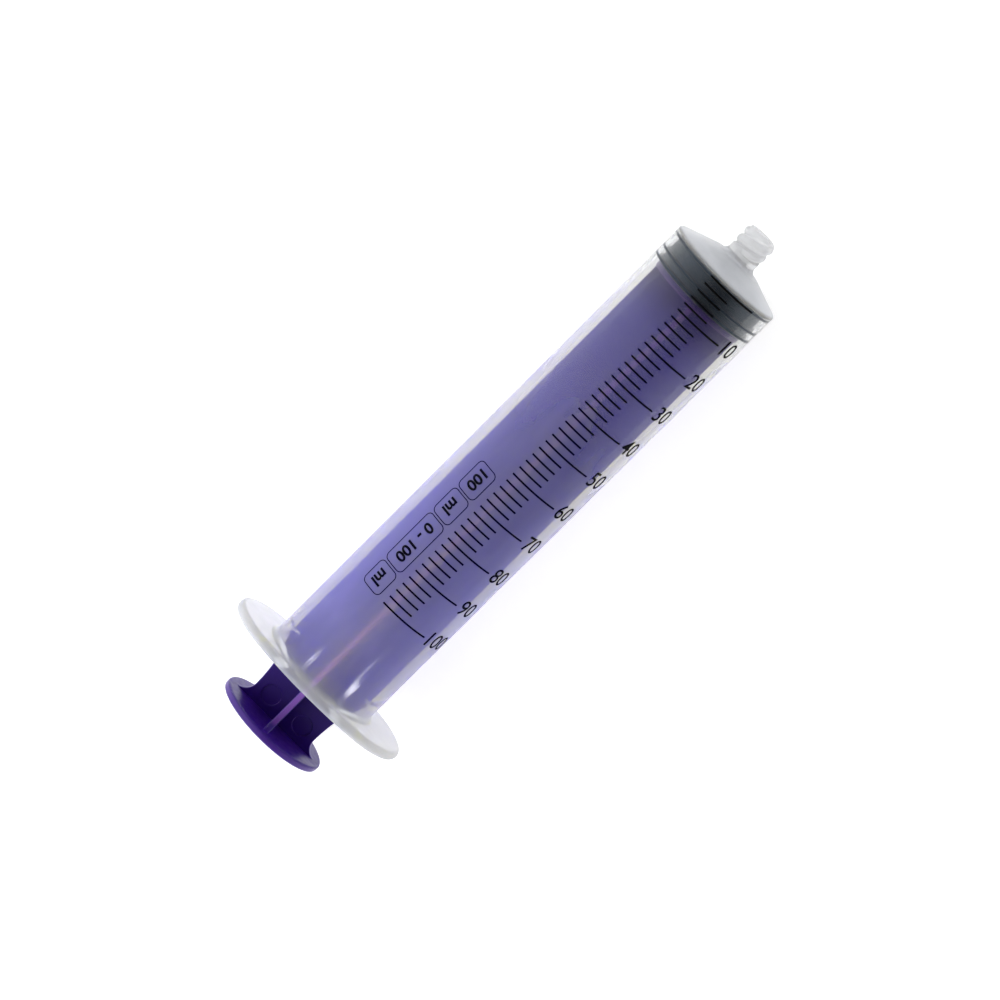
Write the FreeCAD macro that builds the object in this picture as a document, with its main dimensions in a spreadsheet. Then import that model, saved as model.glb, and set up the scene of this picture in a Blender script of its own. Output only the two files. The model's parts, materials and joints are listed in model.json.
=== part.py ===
"""Oral syringe, 100 ml: barrel with threaded enteral tip, rubber stopper, cruciform plunger rod.

Row frame, millimetres: the syringe lies on the edge of its finger flange. +X runs along the barrel
towards the tip, +Z is up through the printed scale, and the flange's wings reach out along Y.
The origin is below the middle of the whole syringe, on the surface that it lies on.
Each body is drawn in its own frame, whose X counts from the zero line of the scale.
"""
import FreeCAD, Part

import math
import os

import Sketcher

# ---------------------------------------------------------------- driving dimensions (mm, degrees)

DIMENSIONS = {
    # barrel tube
    "bore_radius": 16.05,
    "wall": 1.30,
    "rear_face": -156.70,
    "bead_middle": -148.50,
    "bead_half_width": 1.20,
    "bead_height": 0.22,
    "mouth_flare": 0.65,
    # end cone and tip
    "shoulder": 1.60,
    "inner_shoulder": 0.60,
    "cone_angle": 20.0,
    "shoulder_round": 0.80,
    "neck_flare_start": 5.20,
    "neck_flare_end": 6.90,
    "neck_flare_radius": 2.60,
    "collar_radius": 4.62,
    "collar_end": 8.00,
    "tip_end": 15.30,
    "tip_root_radius": 4.15,
    "tip_rim_radius": 3.20,
    "tip_round_start": 13.50,
    "passage_radius": 1.70,
    "socket_radius": 2.85,
    "socket_depth": 7.50,
    "socket_chamfer": 0.25,
    # external two-start thread on the tip
    "thread_lead": 5.50,
    "thread_crest_radius": 4.92,
    "thread_half_width": 1.22,
    "thread_start": 3.675,
    "thread_length": 12.00,
    "thread_runout_start": 8.40,
    "thread_runout_end": 10.00,
    "ridge_foot_depth": 0.30,
    # finger flange
    "flange_thickness": 2.90,
    "flange_half_length": 29.80,
    "flange_half_width": 19.10,
    "flange_end_radius": 17.00,
    "flange_edge_round": 1.40,
    "flange_root_fillet": 1.50,
    # rubber stopper
    "lip_clearance": 0.03,
    "stopper_radius": 15.20,
    "lip_middle_one": -0.05,
    "lip_middle_two": -4.80,
    "lip_middle_three": -7.55,
    "lip_crest_half": 0.16,
    "lip_root_half": 0.62,
    "stopper_rear": -8.30,
    "stopper_rear_bevel": 0.30,
    "stopper_cone_gap": 0.45,
    "stopper_nose_radius": 2.20,
    "pip_circle_radius": 11.60,
    "pip_sphere_radius": 2.00,
    "pip_height": 0.30,
    "pip_turn": 37.70,
    "cavity_neck_radius": 8.20,
    "cavity_head_radius": 10.80,
    "cavity_neck_depth": 3.00,
    "head_rim": 0.80,
    "cavity_front": -1.50,
    "cavity_front_radius": 8.40,
    # plunger rod
    "head_play": 0.12,
    "head_radial_play": 0.20,
    "front_disc_radius": 14.80,
    "front_disc_thickness": 1.50,
    "rib_half_width": 14.40,
    "rib_thickness": 1.80,
    "rib_taper_start": -147.50,
    "rib_taper_turn": -152.50,
    "rib_taper_turn_half_width": 13.55,
    "rib_waist": -168.30,
    "rib_waist_half_width": 11.03,
    "rib_foot_half_width": 14.60,
    "rib_foot_depth": 0.50,
    "rib_rim_round": 0.35,
    "thumb_disc_front": -172.30,
    "thumb_disc_radius": 17.00,
    "thumb_disc_thickness": 2.10,
    "thumb_disc_edge_round": 0.60,
    "ejector_mark_radius": 2.80,
    "ejector_mark_depth": 0.30,
    "ejector_mark_round": 0.25,
    "ejector_mark_place": -167.60,
    "ejector_mark_offset": 5.90,
    # printed scale
    "ink_thickness": 0.04,
    "line_width": 0.50,
    "line_left_angle": -7.35,
    "minor_right_angle": 19.50,
    "major_right_angle": 44.50,
    # how far cutting profiles reach past the solid
    "cut_overshoot": 1.00,
    "trim_overshoot": 3.00,
}

# how near two lengths must be to count as the same when edges are picked, in mm
MATCH = 0.01

doc = FreeCAD.newDocument("oral_syringe")
sheet = doc.addObject("Spreadsheet::Sheet", "dims")
for row, (alias, dimension) in enumerate(DIMENSIONS.items(), start=1):
    sheet.set(f"A{row}", alias)
    sheet.set(f"B{row}", str(dimension))
    sheet.setAlias(f"B{row}", alias)
doc.recompute()

# ------------------------------------------------------------- expressions worked out from the sheet

OUTER_RADIUS = "(dims.bore_radius + dims.wall)"
CONE_SLOPE = "tan(dims.cone_angle * 1 deg)"
ML_PITCH = "(1000 / (pi * dims.bore_radius ^ 2))"
LIP_RADIUS = "(dims.bore_radius - dims.lip_clearance)"
THUMB_REAR = "(dims.thumb_disc_front - dims.thumb_disc_thickness)"
UNDERCUT = "(dims.stopper_rear + dims.cavity_neck_depth)"
ZERO_LINE_X = f"(-({THUMB_REAR} + dims.tip_end) / 2)"


def number(expression):
    """The value of an expression on the sheet, in mm or degrees."""
    result = sheet.evalExpression(expression)
    return float(getattr(result, "Value", result))


# ------------------------------------------------------------------------------- drawing helpers


def new_body(label):
    """A body whose own X counts from the zero line and whose X axis is the syringe's axis."""
    body = doc.addObject("PartDesign::Body", label)
    body.Label = label
    body.setExpression(".Placement.Base.x", ZERO_LINE_X)
    body.setExpression(".Placement.Base.z", "dims.flange_half_width")
    return body


def origin_feature(body, role):
    return next(item for item in body.Origin.OriginFeatures if item.Role == role)


def new_sketch(body, name, plane, offset=None):
    """A sketch on one of the body's origin planes, moved along its normal by an expression."""
    sketch = body.newObject("Sketcher::SketchObject", name)
    sketch.AttachmentSupport = [(origin_feature(body, plane), "")]
    sketch.MapMode = "FlatFace"
    if offset is not None:
        sketch.setExpression(".AttachmentOffset.Base.z", offset)
    return sketch


def pin_point(sketch, geometry, point, place):
    """Hold a point of the sketch at a place given as two expressions."""
    for axis, expression in zip(("DistanceX", "DistanceY"), place):
        constraint = Sketcher.Constraint(axis, -1, 1, geometry, point, number(expression))
        index = sketch.addConstraint(constraint)
        sketch.setExpression(f"Constraints[{index}]", expression)


def arc_between(start, end, radius):
    """The arc of a signed radius between two points: positive turns left, negative turns right."""
    chord = end - start
    half = chord.Length / 2
    left = FreeCAD.Vector(-chord.y, chord.x, 0).normalize()
    rise = math.sqrt(radius ** 2 - half ** 2)
    centre = (start + end) / 2 + left * math.copysign(rise, radius)
    first, last = (start, end) if radius > 0 else (end, start)
    angles = [math.atan2(point.y - centre.y, point.x - centre.x) for point in (first, last)]
    return Part.ArcOfCircle(Part.Circle(centre, FreeCAD.Vector(0, 0, 1), abs(radius)), *angles)


def outline(sketch, corners):
    """Draw a closed outline. A corner is (x, y), or (x, y, radius, turn) if an arc leads up to it.

    All are expressions but turn, which is 1 for an arc that turns left and -1 for one that turns right.
    """
    points = [FreeCAD.Vector(number(corner[0]), number(corner[1]), 0) for corner in corners]
    edges = []
    for index, corner in enumerate(corners):
        start, end = points[index - 1], points[index]
        if len(corner) == 2:
            geometry = sketch.addGeometry(Part.LineSegment(start, end))
            edges.append((geometry, 1, 2))
            continue
        radius, turn = corner[2:]
        geometry = sketch.addGeometry(arc_between(start, end, turn * number(radius)))
        edges.append((geometry, 1, 2) if turn > 0 else (geometry, 2, 1))
    for index, (geometry, _, end_point) in enumerate(edges):
        following, start_point, _ = edges[(index + 1) % len(edges)]
        sketch.addConstraint(Sketcher.Constraint("Coincident", geometry, end_point, following, start_point))
        pin_point(sketch, geometry, end_point, corners[index][:2])
        if len(corners[index]) > 2:
            radius = corners[index][2]
            constraint = sketch.addConstraint(Sketcher.Constraint("Radius", geometry, number(radius)))
            sketch.setExpression(f"Constraints[{constraint}]", radius)


def circle(sketch, x, y, radius):
    """Draw a circle whose centre and radius are expressions."""
    centre = FreeCAD.Vector(number(x), number(y), 0)
    shape = Part.Circle(centre, FreeCAD.Vector(0, 0, 1), number(radius))
    geometry = sketch.addGeometry(shape)
    pin_point(sketch, geometry, 3, (x, y))
    constraint = sketch.addConstraint(Sketcher.Constraint("Radius", geometry, number(radius)))
    sketch.setExpression(f"Constraints[{constraint}]", radius)


def turned(body, kind, name, corners):
    """Revolve an outline of (along, out) corners about the syringe's axis, as material or as a cut."""
    sketch = new_sketch(body, name + "Outline", "XZ_Plane")
    outline(sketch, corners)
    feature = body.newObject("PartDesign::" + kind, name)
    feature.Profile = sketch
    feature.ReferenceAxis = (origin_feature(body, "X_Axis"), [""])
    feature.Angle = 360
    doc.recompute()
    return feature


def extruded(body, kind, name, sketch, length, midplane=False):
    """A Pad or Pocket of a sketch, with its length as an expression."""
    feature = body.newObject("PartDesign::" + kind, name)
    feature.Profile = sketch
    feature.SideType = "Symmetric" if midplane else "One side"
    feature.setExpression("Length", length)
    doc.recompute()
    return feature


def repeated_round_axis(body, name, original, count, angle):
    """Repeat a feature about the syringe's axis."""
    pattern = body.newObject("PartDesign::PolarPattern", name)
    pattern.Originals = [original]
    pattern.Axis = (origin_feature(body, "X_Axis"), [""])
    pattern.Angle = angle
    pattern.Occurrences = count
    body.Tip = pattern
    doc.recompute()
    return pattern


def filleted(body, name, wanted, radius):
    """Round the edges of the tip feature that the test picks."""
    base = body.Tip
    edges = [f"Edge{index}" for index, edge in enumerate(base.Shape.Edges, start=1) if wanted(edge)]
    fillet = body.newObject("PartDesign::Fillet", name)
    fillet.Base = (base, edges)
    fillet.setExpression("Radius", radius)
    doc.recompute()
    return fillet


# ------------------------------------------------------------------------------------------ barrel


def build_barrel():
    """One moulding: tube, end cone, threaded tip and two-wing finger flange."""
    body = new_body("barrel")
    cone_out = f"({OUTER_RADIUS} - (dims.neck_flare_start - dims.shoulder) / {CONE_SLOPE})"
    turned(body, "Revolution", "OuterForm", [
        ("dims.rear_face", "0"),
        ("dims.tip_end", "0"),
        ("dims.tip_end", "dims.tip_root_radius"),
        ("dims.collar_end", "dims.tip_root_radius"),
        ("dims.collar_end", "dims.collar_radius"),
        ("dims.neck_flare_end", "dims.collar_radius"),
        ("dims.neck_flare_start", cone_out, "dims.neck_flare_radius", -1),
        ("dims.shoulder", OUTER_RADIUS),
        ("dims.rear_face", OUTER_RADIUS),
    ])
    filleted(body, "ShoulderRound", is_circle_at("dims.shoulder", OUTER_RADIUS), "dims.shoulder_round")
    add_flange(body)
    add_thread(body)
    cut_bore(body)
    return body


def is_circle_at(along, radius):
    """A test for the round edge of a given radius at a given place along the axis."""
    def test(edge):
        if not isinstance(edge.Curve, Part.Circle):
            return False
        same_radius = abs(edge.Curve.Radius - number(radius)) < MATCH
        return same_radius and abs(edge.Curve.Center.x - number(along)) < MATCH
    return test


def add_flange(body):
    """An oval of four tangent arcs: two flat sides, which it lies on, and two round wing tips."""
    reach = "(dims.flange_half_length - dims.flange_end_radius)"
    narrow = "(dims.flange_half_width - dims.flange_end_radius)"
    side_radius = f"(({reach} ^ 2 + {narrow} ^ 2) / (2 * {narrow}) + dims.flange_end_radius)"
    between = f"({side_radius} - dims.flange_end_radius)"
    end_y = f"({reach} + dims.flange_end_radius * {reach} / {between})"
    end_z = f"(dims.flange_end_radius * ({side_radius} - dims.flange_half_width) / {between})"
    sketch = new_sketch(body, "FlangeOutline", "YZ_Plane", "dims.rear_face")
    outline(sketch, [
        (end_y, end_z, "dims.flange_end_radius", 1),
        ("-" + end_y, end_z, side_radius, 1),
        ("-" + end_y, "-" + end_z, "dims.flange_end_radius", 1),
        (end_y, "-" + end_z, side_radius, 1),
    ])
    extruded(body, "Pad", "Flange", sketch, "dims.flange_thickness")
    oval_radii = [number("dims.flange_end_radius"), number(side_radius)]

    def on_oval(edge):
        return isinstance(edge.Curve, Part.Circle) and any(
            abs(edge.Curve.Radius - radius) < MATCH for radius in oval_radii)

    filleted(body, "FlangeEdgeRound", on_oval, "dims.flange_edge_round")
    flange_front = "(dims.rear_face + dims.flange_thickness)"
    filleted(body, "FlangeRootFillet", is_circle_at(flange_front, OUTER_RADIUS), "dims.flange_root_fillet")


def add_thread(body):
    """Two rounded right-hand ridges round the tip, trimmed to its rounded end and to its collar."""
    sketch = new_sketch(body, "ThreadProfile", "XZ_Plane")
    ridge_foot = "(dims.tip_root_radius - dims.ridge_foot_depth)"
    crest_rise = "(dims.thread_crest_radius - dims.tip_root_radius)"
    crest_arc = f"((dims.thread_half_width ^ 2 + {crest_rise} ^ 2) / (2 * {crest_rise}))"
    ridge_rear = "(dims.thread_start - dims.thread_half_width)"
    ridge_front = "(dims.thread_start + dims.thread_half_width)"
    outline(sketch, [
        (ridge_rear, ridge_foot),
        (ridge_front, ridge_foot),
        (ridge_front, "dims.tip_root_radius"),
        (ridge_rear, "dims.tip_root_radius", crest_arc, 1),
    ])
    helix = body.newObject("PartDesign::AdditiveHelix", "ThreadRidge")
    helix.Profile = sketch
    helix.ReferenceAxis = (origin_feature(body, "X_Axis"), [""])
    helix.Mode = 0
    helix.setExpression("Pitch", "dims.thread_lead")
    helix.setExpression("Height", "dims.thread_length")
    helix.LeftHanded = False
    helix.Reversed = False
    doc.recompute()
    repeated_round_axis(body, "TwoStarts", helix, 2, 360)
    beyond = "(dims.tip_end + dims.trim_overshoot)"
    outside = "(dims.thread_crest_radius + dims.cut_overshoot)"
    turned(body, "Groove", "TipTrim", [
        ("dims.neck_flare_end", "dims.collar_radius"),
        ("dims.thread_runout_start", "dims.collar_radius"),
        ("dims.thread_runout_end", "dims.thread_crest_radius"),
        ("dims.tip_round_start", "dims.thread_crest_radius"),
        ("dims.tip_end", "dims.tip_rim_radius", "(dims.tip_end - dims.tip_round_start)", -1),
        ("dims.tip_end", "0"),
        (beyond, "0"),
        (beyond, outside),
        ("dims.neck_flare_end", outside),
    ])


def cut_bore(body):
    """The bell mouth, retention bead, bore, inner cone, fluid passage and tip socket."""
    bead_arc = "((dims.bead_half_width ^ 2 + dims.bead_height ^ 2) / (2 * dims.bead_height))"
    cone_end = f"(dims.inner_shoulder + (dims.bore_radius - dims.passage_radius) * {CONE_SLOPE})"
    socket_floor = "(dims.tip_end - dims.socket_depth)"
    turned(body, "Groove", "Bore", [
        ("dims.rear_face - dims.cut_overshoot", "0"),
        ("dims.tip_end + dims.cut_overshoot", "0"),
        ("dims.tip_end + dims.cut_overshoot", "dims.socket_radius + dims.socket_chamfer"),
        ("dims.tip_end", "dims.socket_radius + dims.socket_chamfer"),
        ("dims.tip_end - dims.socket_chamfer", "dims.socket_radius"),
        (socket_floor, "dims.socket_radius"),
        (socket_floor, "dims.passage_radius"),
        (cone_end, "dims.passage_radius"),
        ("dims.inner_shoulder", "dims.bore_radius"),
        ("dims.bead_middle + dims.bead_half_width", "dims.bore_radius"),
        ("dims.bead_middle - dims.bead_half_width", "dims.bore_radius", bead_arc, -1),
        ("dims.rear_face", "dims.bore_radius + dims.mouth_flare"),
        ("dims.rear_face - dims.cut_overshoot", "dims.bore_radius + dims.mouth_flare"),
    ])


# ----------------------------------------------------------------------------------------- stopper


def lip(middle):
    """The corners of one sealing lip, from front to back."""
    return [
        (f"{middle} + dims.lip_root_half", "dims.stopper_radius"),
        (f"{middle} + dims.lip_crest_half", LIP_RADIUS),
        (f"{middle} - dims.lip_crest_half", LIP_RADIUS),
        (f"{middle} - dims.lip_root_half", "dims.stopper_radius"),
    ]


def stopper_cone_at(radius):
    """Where the stopper's front cone reaches a radius: it runs parallel to the barrel's inner cone."""
    return f"(dims.inner_shoulder - dims.stopper_cone_gap + (dims.bore_radius - {radius}) * {CONE_SLOPE})"


def build_stopper():
    """Rubber piston with three sealing lips, a front cone with standoff pips and a snap-in cavity."""
    body = new_body("stopper")
    nose = stopper_cone_at("dims.stopper_nose_radius")
    front_lip = lip("dims.lip_middle_one")[1:]
    rear_lips = lip("dims.lip_middle_two") + lip("dims.lip_middle_three")
    turned(body, "Revolution", "RubberForm", [
        ("dims.cavity_front", "0"),
        (nose, "0"),
        (nose, "dims.stopper_nose_radius"),
        (stopper_cone_at("dims.stopper_radius"), "dims.stopper_radius"),
    ] + front_lip + rear_lips + [
        ("dims.stopper_rear", "dims.stopper_radius - dims.stopper_rear_bevel"),
        ("dims.stopper_rear", "dims.cavity_neck_radius"),
        (UNDERCUT, "dims.cavity_neck_radius"),
        (UNDERCUT, "dims.cavity_head_radius"),
        (f"{UNDERCUT} + dims.head_rim", "dims.cavity_head_radius"),
        ("dims.cavity_front", "dims.cavity_front_radius"),
    ])
    add_pips(body)
    return body


def add_pips(body):
    """Four low domes on the front cone, which keep it off the barrel's inner cone."""
    depth = "(dims.pip_sphere_radius - dims.pip_height)"
    out = f"(dims.pip_circle_radius - {depth} * sin(dims.cone_angle * 1 deg))"
    along = f"({stopper_cone_at('dims.pip_circle_radius')} - {depth} * cos(dims.cone_angle * 1 deg))"
    pip = body.newObject("PartDesign::AdditiveSphere", "Pip")
    pip.setExpression("Radius", "dims.pip_sphere_radius")
    pip.setExpression(".Placement.Base.x", along)
    pip.setExpression(".Placement.Base.y", f"{out} * sin(dims.pip_turn * 1 deg)")
    pip.setExpression(".Placement.Base.z", f"{out} * cos(dims.pip_turn * 1 deg)")
    doc.recompute()
    repeated_round_axis(body, "Pips", pip, 4, 360)


# ------------------------------------------------------------------------------------- plunger rod


def build_plunger_rod():
    """One moulding: snap-in head and neck, front disc, cruciform ribs and thumb disc."""
    body = new_body("plunger_rod")
    disc_front = "(dims.stopper_rear - dims.head_play)"
    turned(body, "Revolution", "HeadAndFrontDisc", [
        (f"{disc_front} - dims.front_disc_thickness", "0"),
        ("dims.cavity_front - dims.head_play", "0"),
        ("dims.cavity_front - dims.head_play", "dims.cavity_front_radius - dims.head_radial_play"),
        (f"{UNDERCUT} + dims.head_rim", "dims.cavity_head_radius - dims.head_radial_play"),
        (f"{UNDERCUT} + dims.head_play", "dims.cavity_head_radius - dims.head_radial_play"),
        (f"{UNDERCUT} + dims.head_play", "dims.cavity_neck_radius - dims.head_radial_play"),
        (disc_front, "dims.cavity_neck_radius - dims.head_radial_play"),
        (disc_front, "dims.front_disc_radius"),
        (f"{disc_front} - dims.front_disc_thickness", "dims.front_disc_radius"),
    ])
    add_ribs(body, f"({disc_front} - dims.front_disc_thickness / 2)")
    add_thumb_disc(body)
    cut_ejector_marks(body)
    return body


def tangent_radius(along, out):
    """The radius of an arc that starts along the axis and moves out by one amount over another."""
    return f"(({along}) ^ 2 + ({out}) ^ 2) / (2 * ({out}))"


def add_ribs(body, front):
    """Two crossed ribs, which narrow behind the barrel's mouth and flare into the thumb disc."""
    shoulder = tangent_radius(
        "dims.rib_taper_start - dims.rib_taper_turn",
        "dims.rib_half_width - dims.rib_taper_turn_half_width")
    hollow = tangent_radius(
        "dims.rib_taper_turn - dims.rib_waist",
        "dims.rib_taper_turn_half_width - dims.rib_waist_half_width")
    flare = tangent_radius(
        "dims.rib_waist - dims.thumb_disc_front",
        "dims.rib_foot_half_width - dims.rib_waist_half_width")
    sketch = new_sketch(body, "RibOutline", "XY_Plane")
    outline(sketch, [
        (front, "-dims.rib_half_width"),
        (front, "dims.rib_half_width"),
        ("dims.rib_taper_start", "dims.rib_half_width"),
        ("dims.rib_taper_turn", "dims.rib_taper_turn_half_width", shoulder, 1),
        ("dims.rib_waist", "dims.rib_waist_half_width", hollow, -1),
        ("dims.thumb_disc_front", "dims.rib_foot_half_width", flare, -1),
        ("dims.thumb_disc_front - dims.rib_foot_depth", "dims.rib_foot_half_width"),
        ("dims.thumb_disc_front - dims.rib_foot_depth", "-dims.rib_foot_half_width"),
        ("dims.thumb_disc_front", "-dims.rib_foot_half_width"),
        ("dims.rib_waist", "-dims.rib_waist_half_width", flare, -1),
        ("dims.rib_taper_turn", "-dims.rib_taper_turn_half_width", hollow, -1),
        ("dims.rib_taper_start", "-dims.rib_half_width", shoulder, 1),
    ])
    rib = extruded(body, "Pad", "Rib", sketch, "dims.rib_thickness", midplane=True)
    repeated_round_axis(body, "CrossedRibs", rib, 2, 90)

    def on_rib_rim(edge):
        middle = edge.valueAt((edge.FirstParameter + edge.LastParameter) / 2)
        across = min(abs(middle.y), abs(middle.z))
        on_side_face = abs(across - number("dims.rib_thickness / 2")) < MATCH
        reaches = [max(abs(corner.Y), abs(corner.Z)) for corner in edge.Vertexes]
        far_out = min(reaches) > number("dims.rib_waist_half_width") - MATCH
        return on_side_face and far_out and edge.Length > number("dims.rib_foot_depth") + MATCH

    filleted(body, "RibRimRound", on_rib_rim, "dims.rib_rim_round")


def add_thumb_disc(body):
    """The disc that the thumb pushes, with rounded edges."""
    edge = "dims.thumb_disc_edge_round"
    turned(body, "Revolution", "ThumbDisc", [
        ("dims.thumb_disc_front", "0"),
        ("dims.thumb_disc_front", f"dims.thumb_disc_radius - {edge}"),
        (f"dims.thumb_disc_front - {edge}", "dims.thumb_disc_radius", edge, 1),
        (f"{THUMB_REAR} + {edge}", "dims.thumb_disc_radius"),
        (THUMB_REAR, f"dims.thumb_disc_radius - {edge}", edge, 1),
        (THUMB_REAR, "0"),
    ])


def cut_ejector_marks(body):
    """Round ejector-pin marks, two on each side of each rib, close to the thumb disc."""
    sketch = new_sketch(body, "EjectorMarkOutline", "XY_Plane", "dims.rib_thickness / 2")
    circle(sketch, "dims.ejector_mark_place", "dims.ejector_mark_offset", "dims.ejector_mark_radius")
    circle(sketch, "dims.ejector_mark_place", "-dims.ejector_mark_offset", "dims.ejector_mark_radius")
    before = body.Shape.Volume
    mark = extruded(body, "Pocket", "EjectorMark", sketch, "dims.ejector_mark_depth")
    if body.Shape.Volume >= before:
        raise RuntimeError("the ejector marks cut nothing")
    repeated_round_axis(body, "EjectorMarks", mark, 4, 360)

    def on_mark_edge(edge):
        is_mark = isinstance(edge.Curve, Part.Circle) and (
            abs(edge.Curve.Radius - number("dims.ejector_mark_radius")) < MATCH)
        distances = [abs(edge.CenterOfMass.y), abs(edge.CenterOfMass.z)]
        return is_mark and abs(min(distances) - number("dims.rib_thickness / 2")) < MATCH

    filleted(body, "EjectorMarkRound", on_mark_edge, "dims.ejector_mark_round")


# ----------------------------------------------------------------------------------- printed scale


def on_barrel(radius, angle):
    """A point of the barrel's cross-section: the angle counts from the top towards -Y."""
    return f"-{radius} * sin({angle} * 1 deg)", f"{radius} * cos({angle} * 1 deg)"


def build_scale_lines(label, right_angle, first_ml, patterns):
    """Graduation lines of one length, each a thin curved solid of ink on the barrel.

    Each pattern is (count, step in ml), counted from the first line towards the flange.
    """
    body = new_body(label)
    ink_radius = f"({OUTER_RADIUS} + dims.ink_thickness)"
    start = f"-{first_ml} * {ML_PITCH} - dims.line_width / 2"
    sketch = new_sketch(body, label + "_outline", "YZ_Plane", start)
    outline(sketch, [
        on_barrel(OUTER_RADIUS, "dims.line_left_angle"),
        (*on_barrel(OUTER_RADIUS, right_angle), OUTER_RADIUS, 1),
        on_barrel(ink_radius, right_angle),
        (*on_barrel(ink_radius, "dims.line_left_angle"), ink_radius, -1),
    ])
    line = extruded(body, "Pad", label + "_first", sketch, "dims.line_width")
    rows = body.newObject("PartDesign::MultiTransform", label + "_rows")
    rows.Originals = [line]
    steps = []
    for index, (count, step) in enumerate(patterns):
        pattern = doc.addObject("PartDesign::LinearPattern", f"{label}_step_{index}")
        pattern.Direction = (origin_feature(body, "X_Axis"), [""])
        pattern.Reversed = True
        pattern.Occurrences = count
        pattern.setExpression("Length", f"{(count - 1) * step} * {ML_PITCH}")
        steps.append(pattern)
    rows.Transformations = steps
    body.Tip = rows
    doc.recompute()
    return body


# ------------------------------------------------------------------------------- build and hand in

bodies = [
    build_barrel(),
    build_stopper(),
    build_plunger_rod(),
    build_scale_lines("scale_major_lines", "dims.major_right_angle", 0, [(11, 10)]),
    build_scale_lines("scale_minor_lines", "dims.minor_right_angle", 2, [(4, 2), (10, 10)]),
]

for item in doc.Objects:
    if "Invalid" in item.State or "Error" in item.State:
        raise RuntimeError(f"{item.Name} did not compute: {item.State}")
os.makedirs("parts", exist_ok=True)
for body in bodies:
    if body.Shape.isNull() or not body.Shape.isValid():
        raise RuntimeError(f"{body.Label} has no valid shape")
    body.Shape.exportStep(f"parts/{body.Label}.step")
    print(body.Label, len(body.Shape.Solids), "solids,", round(body.Shape.Volume, 2), "mm3")
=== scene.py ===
"""Oral syringe, 100 ml: looks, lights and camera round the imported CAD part. Metres, the CAD's own frame."""

import json
import math

import bmesh
import bpy
from mathutils import Matrix, Vector


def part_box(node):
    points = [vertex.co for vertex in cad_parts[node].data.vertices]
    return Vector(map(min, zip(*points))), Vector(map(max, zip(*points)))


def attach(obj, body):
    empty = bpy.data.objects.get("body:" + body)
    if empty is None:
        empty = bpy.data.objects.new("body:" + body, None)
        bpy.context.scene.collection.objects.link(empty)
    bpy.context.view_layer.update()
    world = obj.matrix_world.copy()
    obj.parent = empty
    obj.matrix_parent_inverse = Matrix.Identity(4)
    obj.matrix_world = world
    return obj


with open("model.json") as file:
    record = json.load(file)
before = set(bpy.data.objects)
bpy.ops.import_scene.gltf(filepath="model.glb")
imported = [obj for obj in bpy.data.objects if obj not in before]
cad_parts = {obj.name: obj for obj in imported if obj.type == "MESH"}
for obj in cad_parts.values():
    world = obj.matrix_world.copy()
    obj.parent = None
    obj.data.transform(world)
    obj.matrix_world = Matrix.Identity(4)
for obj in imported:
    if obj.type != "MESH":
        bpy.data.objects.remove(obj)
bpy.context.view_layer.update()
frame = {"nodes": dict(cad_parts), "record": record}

MM = 0.001

# ------------------------------------------------------------------ places read from the CAD frame

mounts = {mount["name"]: mount for mount in frame["record"]["mounts"]}
AXIS_Z = mounts["barrel_tube"]["pos_m"][2]
TUBE_RADIUS = mounts["barrel_tube"]["dims"]["r_mm"] * MM
LINE_WIDTH = 0.50 * MM
INK = 0.04 * MM
major_low, major_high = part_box("scale_major_lines")
ZERO_X = major_high.x - LINE_WIDTH / 2
ML = (major_high.x - major_low.x - LINE_WIDTH) / 100
FLANGE_FRONT_X = mounts["flange_front"]["pos_m"][0]
BORE_RADIUS = math.sqrt(1e-6 / (math.pi * ML))

# ------------------------------------------------------------------------------------------ camera

CAMERA_TILT = math.radians(11.13)
CAMERA_DISTANCE = 1.2476
CAMERA_ROLL = math.radians(-45.14)
LENS_MM = 167.9
TARGET = Vector((ZERO_X - 85.1 * MM, -0.38 * MM, AXIS_Z))


def make_camera():
    """Almost straight above the syringe, tipped towards the tip, turned so that the tip points up right."""
    data = bpy.data.cameras.new("camera")
    data.lens = LENS_MM
    data.sensor_width = 36
    data.clip_start = 0.05
    data.clip_end = 20
    camera = bpy.data.objects.new("camera", data)
    bpy.context.scene.collection.objects.link(camera)
    back = Vector((math.sin(CAMERA_TILT), 0, math.cos(CAMERA_TILT)))
    right = Vector((0, -1, 0))
    up = back.cross(right)
    turned_right = right * math.cos(CAMERA_ROLL) - up * math.sin(CAMERA_ROLL)
    turned_up = right * math.sin(CAMERA_ROLL) + up * math.cos(CAMERA_ROLL)
    place = TARGET + back * CAMERA_DISTANCE
    camera.matrix_world = Matrix((
        (turned_right.x, turned_up.x, back.x, place.x),
        (turned_right.y, turned_up.y, back.y, place.y),
        (turned_right.z, turned_up.z, back.z, place.z),
        (0, 0, 0, 1),
    ))
    bpy.context.scene.camera = camera


# --------------------------------------------------------------------------------- floor and lights

FLOOR_HALF_SIZE = 3.0
FLOOR_GLOW = 0.68


def make_floor():
    """The pale top of a light table, glowing softly from below."""
    mesh = bpy.data.meshes.new("floor")
    half = FLOOR_HALF_SIZE
    corners = [(-half, -half, 0), (half, -half, 0), (half, half, 0), (-half, half, 0)]
    mesh.from_pydata(corners, [], [(0, 1, 2, 3)])
    floor = bpy.data.objects.new("floor", mesh)
    bpy.context.scene.collection.objects.link(floor)
    material = bpy.data.materials.new("pale_floor")
    material.use_nodes = True
    shader = material.node_tree.nodes["Principled BSDF"]
    shader.inputs["Base Color"].default_value = (0.96, 0.96, 0.96, 1)
    shader.inputs["Roughness"].default_value = 0.85
    shader.inputs["Emission Color"].default_value = (1.0, 0.99, 0.97, 1)
    shader.inputs["Emission Strength"].default_value = FLOOR_GLOW
    shader.inputs["Specular IOR Level"].default_value = 0.1
    mesh.materials.append(material)


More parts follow.
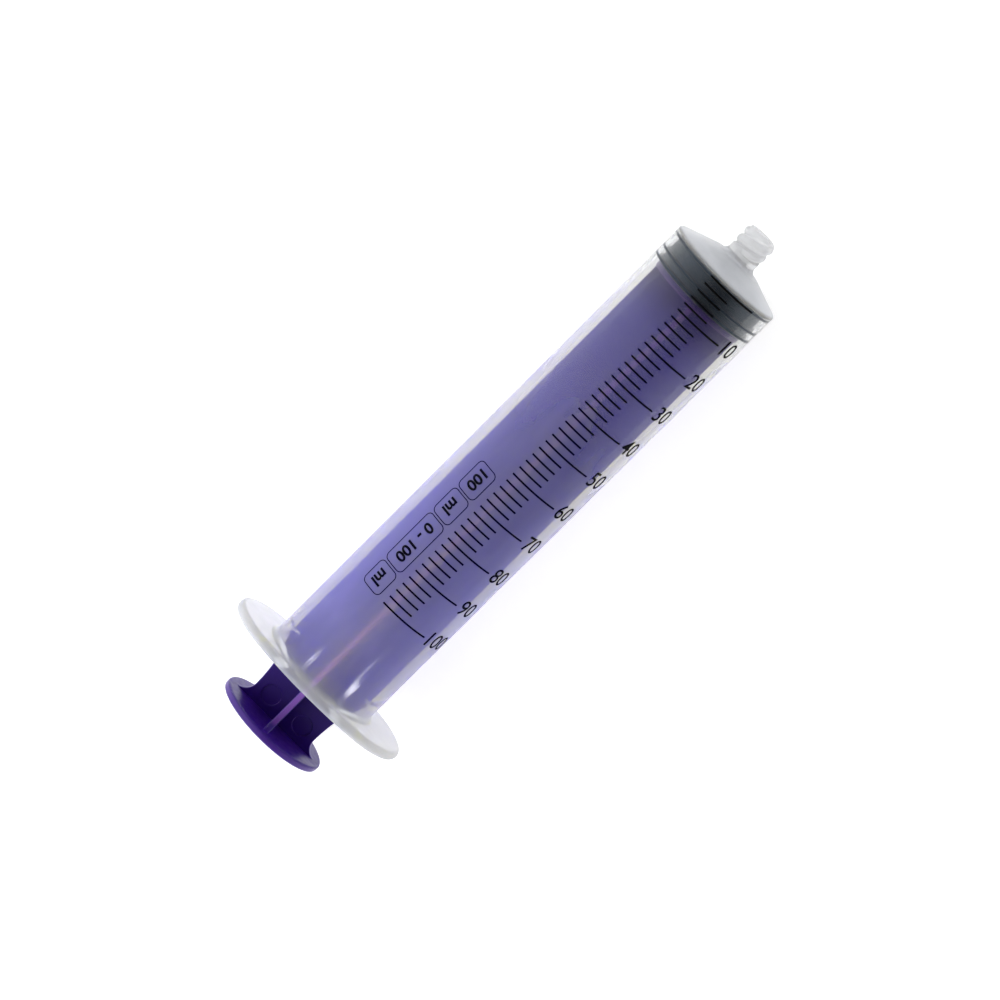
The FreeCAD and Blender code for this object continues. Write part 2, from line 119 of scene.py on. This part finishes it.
# the light tent: strengths at its sides and top, the heights between which it dims, and the +Y side's lead
SIDE_LIGHT = 1.0
TOP_LIGHT = 0.02
TOP_EDGE = 0.15
TOP_MIDDLE = 0.90
LEFT_SHARE = 0.22
# the soft key light in it: where it stands, the cosines of its rim and core, and its strength
KEY_DIRECTION = Vector((-0.75, 0.38, 0.52))
KEY_EDGE = 0.60
KEY_CORE = 0.98
KEY_LIGHT = 1.5


def make_world():
    """A white light tent: bright round the sides, dim straight above, brightest low behind the thumb disc."""
    world = bpy.data.worlds.new("studio")
    bpy.context.scene.world = world
    world.use_nodes = True
    tree = world.node_tree
    background = tree.nodes["Background"]
    place = tree.nodes.new("ShaderNodeTexCoord")
    split = tree.nodes.new("ShaderNodeSeparateXYZ")
    tree.links.new(place.outputs["Generated"], split.inputs["Vector"])
    height = tree.nodes.new("ShaderNodeMapRange")
    height.interpolation_type = "SMOOTHSTEP"
    height.inputs["From Min"].default_value = TOP_EDGE
    height.inputs["From Max"].default_value = TOP_MIDDLE
    height.inputs["To Min"].default_value = SIDE_LIGHT
    height.inputs["To Max"].default_value = TOP_LIGHT
    tree.links.new(split.outputs["Z"], height.inputs["Value"])
    lean = tree.nodes.new("ShaderNodeMath")
    lean.operation = "MULTIPLY_ADD"
    lean.inputs[1].default_value = LEFT_SHARE
    lean.inputs[2].default_value = 1.0
    tree.links.new(split.outputs["Y"], lean.inputs[0])
    total = tree.nodes.new("ShaderNodeMath")
    total.operation = "MULTIPLY"
    tree.links.new(height.outputs["Result"], total.inputs[0])
    tree.links.new(lean.outputs["Value"], total.inputs[1])
    toward = tree.nodes.new("ShaderNodeVectorMath")
    toward.operation = "DOT_PRODUCT"
    toward.inputs[1].default_value = KEY_DIRECTION.normalized()
    tree.links.new(place.outputs["Generated"], toward.inputs[0])
    key = tree.nodes.new("ShaderNodeMapRange")
    key.interpolation_type = "SMOOTHSTEP"
    key.inputs["From Min"].default_value = KEY_EDGE
    key.inputs["From Max"].default_value = KEY_CORE
    key.inputs["To Max"].default_value = KEY_LIGHT
    tree.links.new(toward.outputs["Value"], key.inputs["Value"])
    strength = tree.nodes.new("ShaderNodeMath")
    strength.operation = "ADD"
    tree.links.new(total.outputs["Value"], strength.inputs[0])
    tree.links.new(key.outputs["Result"], strength.inputs[1])
    background.inputs["Color"].default_value = (0.94, 0.96, 1.0, 1)
    tree.links.new(strength.outputs["Value"], background.inputs["Strength"])


GLINT_DISTANCE = 0.60
# name, place along and across the tube of the mirrored spot, lamp's length and width, radiance
GLINTS = (
    ("glint_right_tail", -142.0 * MM, -7.5 * MM, 0.013, 0.040, 8),
    ("glint_right", -147.3 * MM, -8.4 * MM, 0.006, 0.120, 26),
    ("glint_left", -148.8 * MM, 4.8 * MM, 0.003, 0.090, 30),
)


def make_glint(name, along, across, length, width, radiance):
    """A small lamp placed so that the tube mirrors it to the camera at one spot near the flange."""
    rise = math.sqrt(TUBE_RADIUS ** 2 - across ** 2)
    spot = Vector((ZERO_X + along, across, AXIS_Z + rise))
    normal = Vector((0, across, rise)) / TUBE_RADIUS
    to_camera = (bpy.context.scene.camera.matrix_world.translation - spot).normalized()
    to_lamp = 2 * normal.dot(to_camera) * normal - to_camera
    data = bpy.data.lights.new(name, "AREA")
    data.shape = "RECTANGLE"
    data.size = length
    data.size_y = width
    data.energy = radiance * math.pi * length * width
    lamp = bpy.data.objects.new(name, data)
    bpy.context.scene.collection.objects.link(lamp)
    side = to_lamp.cross(Vector((1, 0, 0))).normalized()
    front = side.cross(to_lamp)
    place = spot + to_lamp * GLINT_DISTANCE
    lamp.matrix_world = Matrix((
        (front.x, side.x, to_lamp.x, place.x),
        (front.y, side.y, to_lamp.y, place.y),
        (front.z, side.z, to_lamp.z, place.z),
        (0, 0, 0, 1),
    ))
    lamp.visible_camera = False


# --------------------------------------------------------------------------------------- materials


def new_material(name):
    """A node material, with its tree and its main shader."""
    material = bpy.data.materials.new(name)
    material.use_nodes = True
    tree = material.node_tree
    return material, tree, tree.nodes["Principled BSDF"]


def add_noise(tree, scale, detail=3.0, stretch=(1, 1, 1)):
    """A noise pattern over the object's own coordinates, in metres."""
    place = tree.nodes.new("ShaderNodeTexCoord")
    mapping = tree.nodes.new("ShaderNodeMapping")
    mapping.inputs["Scale"].default_value = stretch
    noise = tree.nodes.new("ShaderNodeTexNoise")
    noise.inputs["Scale"].default_value = scale
    noise.inputs["Detail"].default_value = detail
    tree.links.new(place.outputs["Object"], mapping.inputs["Vector"])
    tree.links.new(mapping.outputs["Vector"], noise.inputs["Vector"])
    return noise


def add_ramp(tree, source, low, high):
    """Colours or values going from low to high over the middle of a noise pattern's range."""
    ramp = tree.nodes.new("ShaderNodeValToRGB")
    ramp.color_ramp.elements[0].position = 0.35
    ramp.color_ramp.elements[1].position = 0.65
    ramp.color_ramp.elements[0].color = low
    ramp.color_ramp.elements[1].color = high
    tree.links.new(source, ramp.inputs["Fac"])
    return ramp.outputs["Color"]


def grey(value):
    """A value as a colour."""
    return (value, value, value, 1)


def add_bump(tree, shader, source, strength, distance):
    """Fine relief on a shader, its height in metres."""
    bump = tree.nodes.new("ShaderNodeBump")
    bump.inputs["Strength"].default_value = strength
    bump.inputs["Distance"].default_value = distance
    tree.links.new(source, bump.inputs["Height"])
    tree.links.new(bump.outputs["Normal"], shader.inputs["Normal"])


# how milky the plastic is along the barrel: place, share of light scattered, and of that the share sent on
HAZE_STOPS = (
    (FLANGE_FRONT_X, 0.46, 0.20),
    (FLANGE_FRONT_X + 2 * MM, 0.32, 0.0),
    (FLANGE_FRONT_X + 8 * MM, 0.38, 0.0),
    (FLANGE_FRONT_X + 18 * MM, 0.46, 0.0),
    (ZERO_X - 60 * MM, 0.25, 0.0),
    (ZERO_X - 20 * MM, 0.16, 0.0),
    (ZERO_X - 9 * MM, 0.10, 0.98),
    (ZERO_X + 0.9 * MM, 0.10, 0.98),
    (ZERO_X + 1.5 * MM, 0.60, 0.03),
    (ZERO_X + 5.0 * MM, 0.58, 0.15),
    (ZERO_X + 6.8 * MM, 0.48, 0.85),
)
# how much thinner and denser the haze gets from cloud to cloud
CLOUD_CHANGE = 0.12
# what the haze scatters back, and the tints of the plastic itself
THIN_WALL_GLOW = (0.13, 0.13, 1.0, 1)
THICK_GLOW = (0.92, 0.945, 1.0, 1)
FLANGE_GLOW = (0.82, 0.87, 1.0, 1)
THIN_WALL_TINT = (1.0, 0.985, 0.90, 1)
CLEARER_WALL_TINT = (0.94, 0.935, 0.90, 1)
STOPPER_WALL_TINT = (0.90, 0.905, 0.90, 1)
THICK_TINT = (0.985, 0.985, 0.99, 1)
FLANGE_TINT = (0.925, 0.935, 0.96, 1)


def add_math(tree, operation, first, second):
    """One operation on two values, each a socket or a number."""
    node = tree.nodes.new("ShaderNodeMath")
    node.operation = operation
    for socket, value in zip(node.inputs, (first, second)):
        if isinstance(value, bpy.types.NodeSocket):
            tree.links.new(value, socket)
        else:
            socket.default_value = value
    return node.outputs["Value"]


def add_place_along(tree):
    """The place along the syringe's axis, in metres."""
    place = tree.nodes.new("ShaderNodeTexCoord")
    split = tree.nodes.new("ShaderNodeSeparateXYZ")
    tree.links.new(place.outputs["Object"], split.inputs["Vector"])
    return split.outputs["X"]


def add_span(tree, source, start, end, low, high):
    """A value going smoothly from low to high as the source goes from start to end."""
    node = tree.nodes.new("ShaderNodeMapRange")
    node.interpolation_type = "SMOOTHSTEP"
    for name, value in zip(("From Min", "From Max", "To Min", "To Max"), (start, end, low, high)):
        node.inputs[name].default_value = value
    tree.links.new(source, node.inputs["Value"])
    return node.outputs["Result"]


def add_profile(tree, source, stops):
    """A colour that follows a source, in metres, through stops of (place, colour)."""
    start, end = stops[0][0], stops[-1][0]
    ramp = tree.nodes.new("ShaderNodeValToRGB")
    elements = ramp.color_ramp.elements
    for place, colour in stops[1:-1]:
        elements.new((place - start) / (end - start)).color = colour
    elements[0].color = stops[0][1]
    elements[-1].color = stops[-1][1]
    along = tree.nodes.new("ShaderNodeMapRange")
    along.inputs["From Min"].default_value = start
    along.inputs["From Max"].default_value = end
    tree.links.new(source, along.inputs["Value"])
    tree.links.new(along.outputs["Result"], ramp.inputs["Fac"])
    return ramp.outputs["Color"]


def clear_plastic():
    """Milky polypropylene: clear in the thin tube wall, hazier where it is thick, bluish over dark things."""
    material, tree, glass = new_material("clear_plastic")
    glass.inputs["Transmission Weight"].default_value = 1.0
    glass.inputs["IOR"].default_value = 1.49
    satin = add_noise(tree, 220, stretch=(0.3, 1, 1))
    tree.links.new(add_ramp(tree, satin.outputs["Fac"], grey(0.03), grey(0.06)), glass.inputs["Roughness"])

    along = add_place_along(tree)
    amount = add_profile(tree, along, [(x, grey(haze)) for x, haze, _ in HAZE_STOPS])
    forward = add_profile(tree, along, [(x, grey(onward)) for x, _, onward in HAZE_STOPS])
    glow = add_profile(tree, along, (
        (FLANGE_FRONT_X, FLANGE_GLOW),
        (FLANGE_FRONT_X + 3 * MM, THIN_WALL_GLOW),
        (ZERO_X - 9 * MM, THIN_WALL_GLOW),
        (ZERO_X - 3 * MM, THICK_GLOW),
    ))
    tint = add_profile(tree, along, (
        (FLANGE_FRONT_X, FLANGE_TINT),
        (FLANGE_FRONT_X + 3 * MM, THIN_WALL_TINT),
        (ZERO_X - 60 * MM, THIN_WALL_TINT),
        (ZERO_X - 20 * MM, CLEARER_WALL_TINT),
        (ZERO_X - 9 * MM, STOPPER_WALL_TINT),
        (ZERO_X + 0.9 * MM, STOPPER_WALL_TINT),
        (ZERO_X + 1.5 * MM, THICK_TINT),
    ))
    tree.links.new(tint, glass.inputs["Base Color"])
    clouds = add_noise(tree, 70, stretch=(0.3, 1, 1))
    uneven = add_span(tree, clouds.outputs["Fac"], 0.3, 0.7, 1 - CLOUD_CHANGE, 1 + CLOUD_CHANGE)
    share = add_math(tree, "MULTIPLY", amount, uneven)

    # blue light is scattered back, and the rest of the light goes on through
    scattered_back = tree.nodes.new("ShaderNodeBsdfDiffuse")
    tree.links.new(glow, scattered_back.inputs["Color"])
    remainder = tree.nodes.new("ShaderNodeVectorMath")
    remainder.operation = "SUBTRACT"
    remainder.inputs[0].default_value = (1.0, 1.0, 1.0)
    tree.links.new(glow, remainder.inputs[1])
    let_through = tree.nodes.new("ShaderNodeBsdfTranslucent")
    tree.links.new(remainder.outputs["Vector"], let_through.inputs["Color"])
    reflected = tree.nodes.new("ShaderNodeAddShader")
    tree.links.new(scattered_back.outputs["BSDF"], reflected.inputs[0])
    tree.links.new(let_through.outputs["BSDF"], reflected.inputs[1])
    passed = tree.nodes.new("ShaderNodeBsdfTranslucent")
    tree.links.new(tint, passed.inputs["Color"])
    haze = tree.nodes.new("ShaderNodeMixShader")
    tree.links.new(forward, haze.inputs["Fac"])
    tree.links.new(reflected.outputs["Shader"], haze.inputs[1])
    tree.links.new(passed.outputs["BSDF"], haze.inputs[2])
    both = tree.nodes.new("ShaderNodeMixShader")
    tree.links.new(share, both.inputs["Fac"])
    tree.links.new(glass.outputs["BSDF"], both.inputs[1])
    tree.links.new(haze.outputs["Shader"], both.inputs[2])
    tree.links.new(both.outputs["Shader"], tree.nodes["Material Output"].inputs["Surface"])
    return material


def add_edge_share(tree, start, end):
    """From 0 on the plunger's flat faces to 1 on its outward-facing rims, the mask for the light painted on
    them.
    """
    place = tree.nodes.new("ShaderNodeTexCoord")
    outward = tree.nodes.new("ShaderNodeVectorMath")
    outward.operation = "MULTIPLY_ADD"
    outward.inputs[1].default_value = (0, 1, 1)
    outward.inputs[2].default_value = (0, 0, -AXIS_Z)
    tree.links.new(place.outputs["Object"], outward.inputs[0])
    unit = tree.nodes.new("ShaderNodeVectorMath")
    unit.operation = "NORMALIZE"
    tree.links.new(outward.outputs["Vector"], unit.inputs[0])
    facing = tree.nodes.new("ShaderNodeVectorMath")
    facing.operation = "DOT_PRODUCT"
    tree.links.new(unit.outputs["Vector"], facing.inputs[0])
    tree.links.new(place.outputs["Normal"], facing.inputs[1])
    return add_span(tree, facing.outputs["Value"], start, end, 0, 1)


def add_rib_share(tree):
    """How strongly light is painted on the rims along the rod: most along the ribs, least at the thicker
    discs at both ends.
    """
    rod_low, rod_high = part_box("plunger_rod")
    return add_profile(tree, add_place_along(tree), (
        (rod_low.x, grey(0.05)),
        (rod_low.x + 2.1 * MM, grey(0.05)),
        (rod_low.x + 5.0 * MM, grey(0.30)),
        (FLANGE_FRONT_X - 4 * MM, grey(0.36)),
        (FLANGE_FRONT_X + 3 * MM, grey(0.90)),
        (ZERO_X - 115 * MM, grey(0.75)),
        (ZERO_X - 85 * MM, grey(0.40)),
        (ZERO_X - 10.6 * MM, grey(0.20)),
        (ZERO_X - 9.8 * MM, grey(0.18)),
        (ZERO_X - 9.5 * MM, grey(0.03)),
        (rod_high.x, grey(0.03)),
    ))


def purple_plastic():
    """Deep purple polypropylene with a satin moulded skin, with painted light on the thin outward-facing
    rims: a paler violet that stands in for light leaking through them.
    """
    material, tree, shader = new_material("purple_plastic")
    flow = add_noise(tree, 45, stretch=(0.3, 1, 1))
    body = add_ramp(tree, flow.outputs["Fac"], (0.040, 0.007, 0.24, 1), (0.056, 0.011, 0.30, 1))
    blend = tree.nodes.new("ShaderNodeMix")
    blend.data_type = "RGBA"
    # painted light: the outward-facing rims are mixed towards a pale violet that stands in for light leaking
    # through them, more of it towards the flange
    rims = add_math(tree, "MULTIPLY", add_edge_share(tree, 0.80, 0.98), add_rib_share(tree))
    tree.links.new(rims, blend.inputs["Factor"])
    tree.links.new(body, blend.inputs["A"])
    blend.inputs["B"].default_value = (0.68, 0.25, 1.0, 1)
    tree.links.new(blend.outputs["Result"], shader.inputs["Base Color"])
    satin = add_noise(tree, 500)
    tree.links.new(add_ramp(tree, satin.outputs["Fac"], grey(0.30), grey(0.42)), shader.inputs["Roughness"])
    shader.inputs["IOR"].default_value = 1.49
    shader.inputs["Specular IOR Level"].default_value = 0.4
    grain = add_noise(tree, 2500, detail=2)
    add_bump(tree, shader, grain.outputs["Fac"], 0.25, 0.00004)
    return material


def stopper_rubber():
    """Slate-grey rubber with a thin film of silicone oil."""
    material, tree, shader = new_material("stopper_rubber")
    dust = add_noise(tree, 300)
    colour = add_ramp(tree, dust.outputs["Fac"], (0.0015, 0.0035, 0.008, 1), (0.004, 0.0075, 0.014, 1))
    tree.links.new(colour, shader.inputs["Base Color"])
    shader.inputs["Specular Tint"].default_value = (0.30, 0.60, 1.0, 1)
    shader.inputs["Specular IOR Level"].default_value = 0.7
    tree.links.new(add_ramp(tree, dust.outputs["Fac"], grey(0.30), grey(0.42)), shader.inputs["Roughness"])
    grain = add_noise(tree, 1800, detail=2)
    add_bump(tree, shader, grain.outputs["Fac"], 0.3, 0.00005)
    return material


def black_ink():
    """Screen-printed ink, slightly uneven."""
    material, tree, shader = new_material("black_ink")
    press = add_noise(tree, 900)
    colour = add_ramp(tree, press.outputs["Fac"], (0.0015, 0.0015, 0.002, 1), (0.004, 0.004, 0.006, 1))
    tree.links.new(colour, shader.inputs["Base Color"])
    tree.links.new(add_ramp(tree, press.outputs["Fac"], grey(0.60), grey(0.75)), shader.inputs["Roughness"])
    shader.inputs["Specular IOR Level"].default_value = 0.05
    return material


# -------------------------------------------------------------------- rubber pressed on the plastic

LIP_SETBACKS = (0.05 * MM, 4.80 * MM, 7.55 * MM)
LIP_HALF_WIDTH = 0.42 * MM
LIP_SQUEEZE = 0.05 * MM
# the band's section: place along it in half widths, and depth below its crest in mm
LIP_PROFILE = ((-1, 0.20), (-0.75, 0.0), (0.75, 0.0), (1, 0.20), (0.9, 0.45), (-0.9, 0.45))
RING_STEPS = 240


def add_rubber_piece(name, vertices, faces, material):
    """A closed piece of rubber that moves with the stopper."""
    mesh = bpy.data.meshes.new(name)
    mesh.from_pydata(vertices, [], faces)
    shape = bmesh.new()
    shape.from_mesh(mesh)
    bmesh.ops.recalc_face_normals(shape, faces=shape.faces[:])
    shape.to_mesh(mesh)
    shape.free()
    mesh.materials.append(material)
    piece = bpy.data.objects.new(name, mesh)
    bpy.context.scene.collection.objects.link(piece)
    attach(piece, "stopper")


def make_lip_contact(name, centre_x, material):
    """The rounded band where a rubber lip is pressed flat on the bore's wall, touching it all round."""
    rows = []
    for along, drop in LIP_PROFILE:
        rows.append((centre_x + along * LIP_HALF_WIDTH, BORE_RADIUS + LIP_SQUEEZE - drop * MM))
    vertices, faces = [], []
    for step in range(RING_STEPS):
        angle = 2 * math.pi * step / RING_STEPS
        for x, radius in rows:
            vertices.append((x, radius * math.sin(angle), AXIS_Z + radius * math.cos(angle)))
    size = len(rows)
    for step in range(RING_STEPS):
        here, there = step * size, (step + 1) % RING_STEPS * size
        for row in range(size):
            across = (row + 1) % size
            faces.append((here + row, here + across, there + across, there + row))
    add_rubber_piece(name, vertices, faces, material)


INNER_CONE_START = 0.60 * MM
CONE_ANGLE = math.radians(20)
PIP_CIRCLE = 11.6 * MM
PIP_TURN = math.radians(37.7)
PIP_COUNT = 4
PIP_STEPS = 32
# radius and height above the barrel's inner cone, in mm
PIP_PROFILE = ((1.10, -0.40), (0.95, 0.0), (0.75, 0.05))


def make_pip_contact(index, material):
    """The flattened crown of one standoff pip, where it touches the barrel's inner cone."""
    turn = PIP_TURN + index * math.pi / 2
    outward = Vector((0, math.sin(turn), math.cos(turn)))
    sideways = Vector((0, math.cos(turn), -math.sin(turn)))
    rise = (BORE_RADIUS - PIP_CIRCLE) * math.tan(CONE_ANGLE)
    middle = Vector((ZERO_X + INNER_CONE_START + rise, 0, AXIS_Z)) + outward * PIP_CIRCLE
    normal = Vector((math.cos(CONE_ANGLE), 0, 0)) + outward * math.sin(CONE_ANGLE)
    slope = sideways.cross(normal)
    vertices, faces = [], []
    for radius, height in PIP_PROFILE:
        for step in range(PIP_STEPS):
            angle = 2 * math.pi * step / PIP_STEPS
            spoke = sideways * math.cos(angle) + slope * math.sin(angle)
            vertices.append(middle + spoke * radius * MM + normal * height * MM)
    for ring in range(len(PIP_PROFILE) - 1):
        for step in range(PIP_STEPS):
            here, there = ring * PIP_STEPS + step, ring * PIP_STEPS + (step + 1) % PIP_STEPS
            faces.append((here, there, there + PIP_STEPS, here + PIP_STEPS))
    faces.append(tuple(range(PIP_STEPS)))
    faces.append(tuple(range(len(vertices) - PIP_STEPS, len(vertices))))
    add_rubber_piece(f"pip_contact_{index}", vertices, faces, material)


def dress(node, material):
    """Give a CAD node its finished material."""
    piece = frame["nodes"][node]
    piece.data.materials.clear()
    piece.data.materials.append(material)


# ---------------------------------------------------------------------------------------- printing

BEND_STEP = 0.6 * MM


def print_on_barrel(name, flat, material):
    """Wrap a flat mesh, x round the barrel from its top towards -Y and y along it, into raised ink."""
    shape = bmesh.new()
    shape.from_mesh(flat)
    reach = max(abs(vertex.co.x) for vertex in shape.verts)
    cuts = int(reach / BEND_STEP) + 1
    for index in range(-cuts, cuts + 1):
        everything = shape.verts[:] + shape.edges[:] + shape.faces[:]
        bmesh.ops.bisect_plane(shape, geom=everything, plane_co=(index * BEND_STEP, 0, 0), plane_no=(1, 0, 0))
    bmesh.ops.triangulate(shape, faces=shape.faces[:])
    raised = bmesh.ops.extrude_face_region(shape, geom=shape.faces[:])
    for item in raised["geom"]:
        if isinstance(item, bmesh.types.BMVert):
            item.co.z = INK
    for vertex in shape.verts:
        angle = vertex.co.x / TUBE_RADIUS
        radius = TUBE_RADIUS + vertex.co.z
        vertex.co = (vertex.co.y, -radius * math.sin(angle), AXIS_Z + radius * math.cos(angle))
    bmesh.ops.recalc_face_normals(shape, faces=shape.faces[:])
    mesh = bpy.data.meshes.new(name)
    shape.to_mesh(mesh)
    shape.free()
    mesh.materials.append(material)
    piece = bpy.data.objects.new(name, mesh)
    bpy.context.scene.collection.objects.link(piece)
    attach(piece, "barrel")


def flat_text(words, height, weight):
    """The flat mesh of a line of text, its capitals of a given height, from x = 0 and standing on y = 0."""
    curve = bpy.data.curves.new("text", "FONT")
    curve.body = words
    curve.size = height
    curve.offset = weight * height
    curve.resolution_u = 6
    curve.fill_mode = "FRONT"
    holder = bpy.data.objects.new("text", curve)
    bpy.context.scene.collection.objects.link(holder)
    bpy.context.view_layer.update()
    mesh = bpy.data.meshes.new_from_object(holder)
    bpy.data.objects.remove(holder)
    xs = [vertex.co.x for vertex in mesh.vertices]
    ys = [vertex.co.y for vertex in mesh.vertices]
    scale = height / (max(ys) - min(ys))
    for vertex in mesh.vertices:
        vertex.co.x = (vertex.co.x - min(xs)) * scale
        vertex.co.y = (vertex.co.y - min(ys)) * scale
    return mesh


NUMERAL_HEIGHT = 4.8 * MM
NUMERAL_START_ANGLE = math.radians(49.5)
NUMERAL_MIDDLE_ANGLE = math.radians(59.5)
NUMERAL_LIFT = 0.5 * MM
NUMERAL_WEIGHT = 0.004


def print_numerals(material):
    """The tens of millilitres, each beside its long line and reading upright with the tip up."""
    for tens in range(10, 101, 10):
        mesh = flat_text(str(tens), NUMERAL_HEIGHT, NUMERAL_WEIGHT)
        width = max(vertex.co.x for vertex in mesh.vertices)
        left = max(NUMERAL_START_ANGLE * TUBE_RADIUS, NUMERAL_MIDDLE_ANGLE * TUBE_RADIUS - width / 2)
        bottom = ZERO_X - tens * ML + NUMERAL_LIFT - NUMERAL_HEIGHT / 2
        mesh.transform(Matrix.Translation((left, bottom, 0)))
        print_on_barrel(f"numeral_{tens}", mesh, material)


LABEL_START_ANGLE = math.radians(-38.0)
LABEL_WIDTH = 7.2 * MM
LABEL_LINE = 0.25 * MM
LABEL_GAP = 0.5 * MM
LABEL_CORNER = 1.6 * MM
CORNER_STEPS = 8
LABEL_TEXT = 3.4 * MM
LABEL_WEIGHT = 0.026
LABEL_TOP_ML = 63.0
LABEL_BOXES = ((9.8 * MM, "100"), (9.0 * MM, "ml"), (17.6 * MM, "0 - 100"), (8.2 * MM, "ml"))


def rounded_corners(length, inset):
    """The outline of a rounded box, inset by a distance, from (0, 0) to (LABEL_WIDTH, length)."""
    radius = LABEL_CORNER - inset
    points = []
    for index, (x, y) in enumerate(((1, 1), (0, 1), (0, 0), (1, 0))):
        centre_x = LABEL_CORNER if x == 0 else LABEL_WIDTH - LABEL_CORNER
        centre_y = LABEL_CORNER if y == 0 else length - LABEL_CORNER
        for step in range(CORNER_STEPS + 1):
            angle = math.pi / 2 * (index + step / CORNER_STEPS)
            points.append((centre_x + radius * math.cos(angle), centre_y + radius * math.sin(angle), 0))
    return points


def flat_outline(length):
    """The flat mesh of a rounded box's thin outline."""
    outer, inner = rounded_corners(length, 0), rounded_corners(length, LABEL_LINE)
    count = len(outer)
    faces = []
    for here in range(count):
        there = (here + 1) % count
        faces.append((here, there, there + count, here + count))
    mesh = bpy.data.meshes.new("outline")
    mesh.from_pydata(outer + inner, [], faces)
    return mesh


def print_label(material):
    """A row of rounded boxes with the capacity and the scale's range, reading from the tip to the flange."""
    left = LABEL_START_ANGLE * TUBE_RADIUS
    top = ZERO_X - LABEL_TOP_ML * ML
    for index, (length, words) in enumerate(LABEL_BOXES):
        outline = flat_outline(length)
        outline.transform(Matrix.Translation((left, top - length, 0)))
        print_on_barrel(f"label_box_{index}", outline, material)
        text = flat_text(words, LABEL_TEXT, LABEL_WEIGHT)
        width = max(vertex.co.x for vertex in text.vertices)
        turn = Matrix.Rotation(-math.pi / 2, 4, "Z")
        start = Vector((left + (LABEL_WIDTH - LABEL_TEXT) / 2, top - (length - width) / 2, 0))
        text.transform(Matrix.Translation(start) @ turn)
        print_on_barrel(f"label_text_{index}", text, material)
        top -= length + LABEL_GAP


# -------------------------------------------------------------------------------------------- build

make_camera()
make_floor()
make_world()
for glint in GLINTS:
    make_glint(*glint)
ink = black_ink()
dress("barrel", clear_plastic())
dress("plunger_rod", purple_plastic())
rubber = stopper_rubber()
dress("stopper", rubber)
for place, setback in zip(("front", "middle", "rear"), LIP_SETBACKS):
    make_lip_contact(f"lip_contact_{place}", ZERO_X - setback, rubber)
for index in range(PIP_COUNT):
    make_pip_contact(index, rubber)
dress("scale_major_lines", ink)
dress("scale_minor_lines", ink)
print_numerals(ink)
print_label(ink)
bpy.context.scene.view_settings.view_transform = "Standard"
